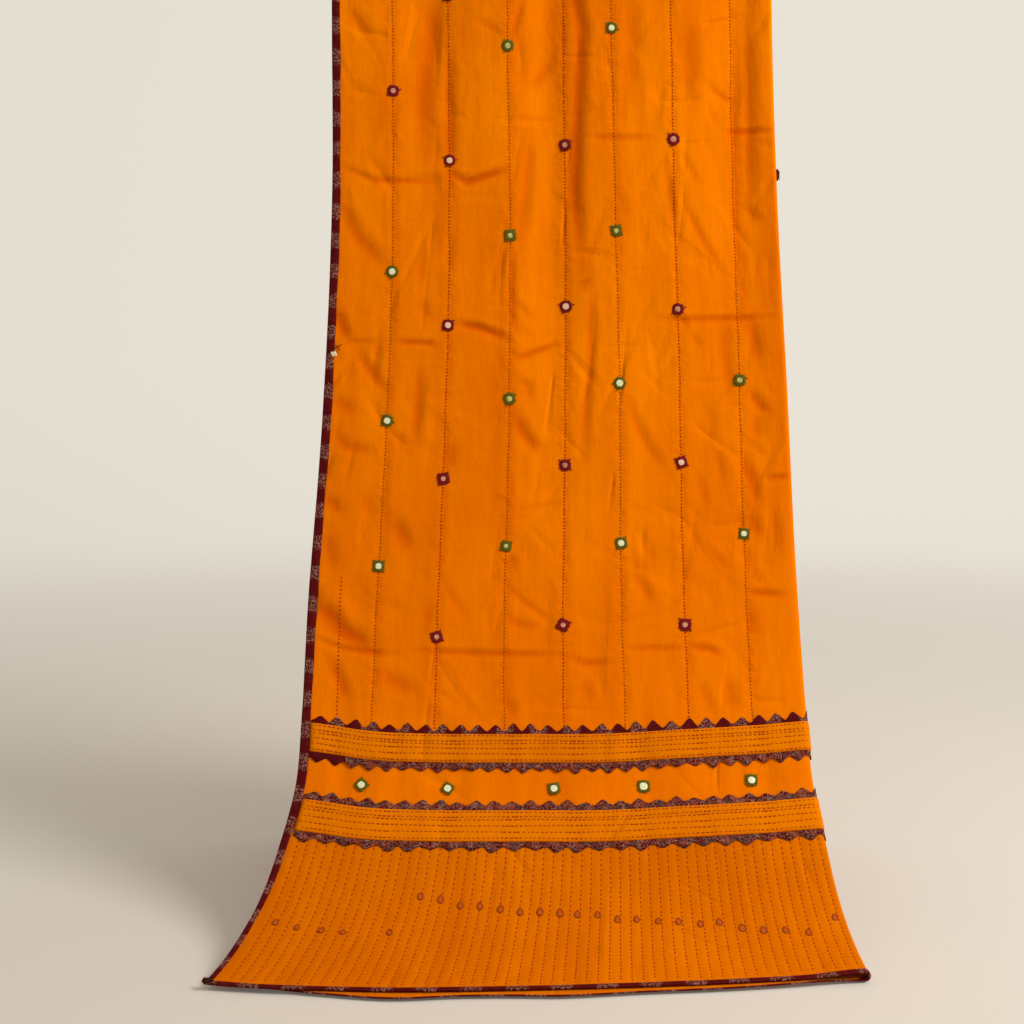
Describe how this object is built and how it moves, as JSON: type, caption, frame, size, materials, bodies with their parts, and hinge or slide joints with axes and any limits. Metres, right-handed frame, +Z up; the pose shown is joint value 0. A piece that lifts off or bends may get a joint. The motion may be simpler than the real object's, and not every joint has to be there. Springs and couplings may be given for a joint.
{
  "type": "applique dupatta on a hanging rod",
  "caption": "Orange cotton dupatta with maroon sawtooth applique, mirrors and printed bindings, folded over a wooden rod.",
  "frame": {"origin": "centre of the wooden rod that holds the folded cloth", "axes": "+Z up, +X along the rod towards the cloth's lengthwise fold, -Y towards the front drop"},
  "size_m": [0.64, 0.4968, 1.1831],
  "materials": {
    "cotton_orange": "matt plain-woven cotton, softly creased",
    "print_maroon": "matt printed cotton with a small medallion repeat in grey pink",
    "wood": "plain satin rod",
    "mirror_glass": "small hand-cut glass mirrors, round or squarish, a little dull",
    "thread": "cotton embroidery thread in maroon and olive"
  },
  "bodies": {
    "root": {"hanging_rod": "wood", "field": "cotton_orange", "mirror_strip_front": "cotton_orange", "mirror_strip_back": "cotton_orange", "end_panel_front": "cotton_orange", "end_panel_back": "cotton_orange", "band_upper_front": "cotton_orange", "band_lower_front": "cotton_orange", "band_upper_back": "cotton_orange", "band_lower_back": "cotton_orange", "sawtooth_upper_front": "print_maroon", "sawtooth_lower_front": "print_maroon", "sawtooth_upper_back": "print_maroon", "sawtooth_lower_back": "print_maroon", "hem_binding_front": "print_maroon", "hem_binding_back": "print_maroon", "edge_binding_outer": "print_maroon", "edge_binding_inner": "print_maroon"}
  },
  "joints": []
}
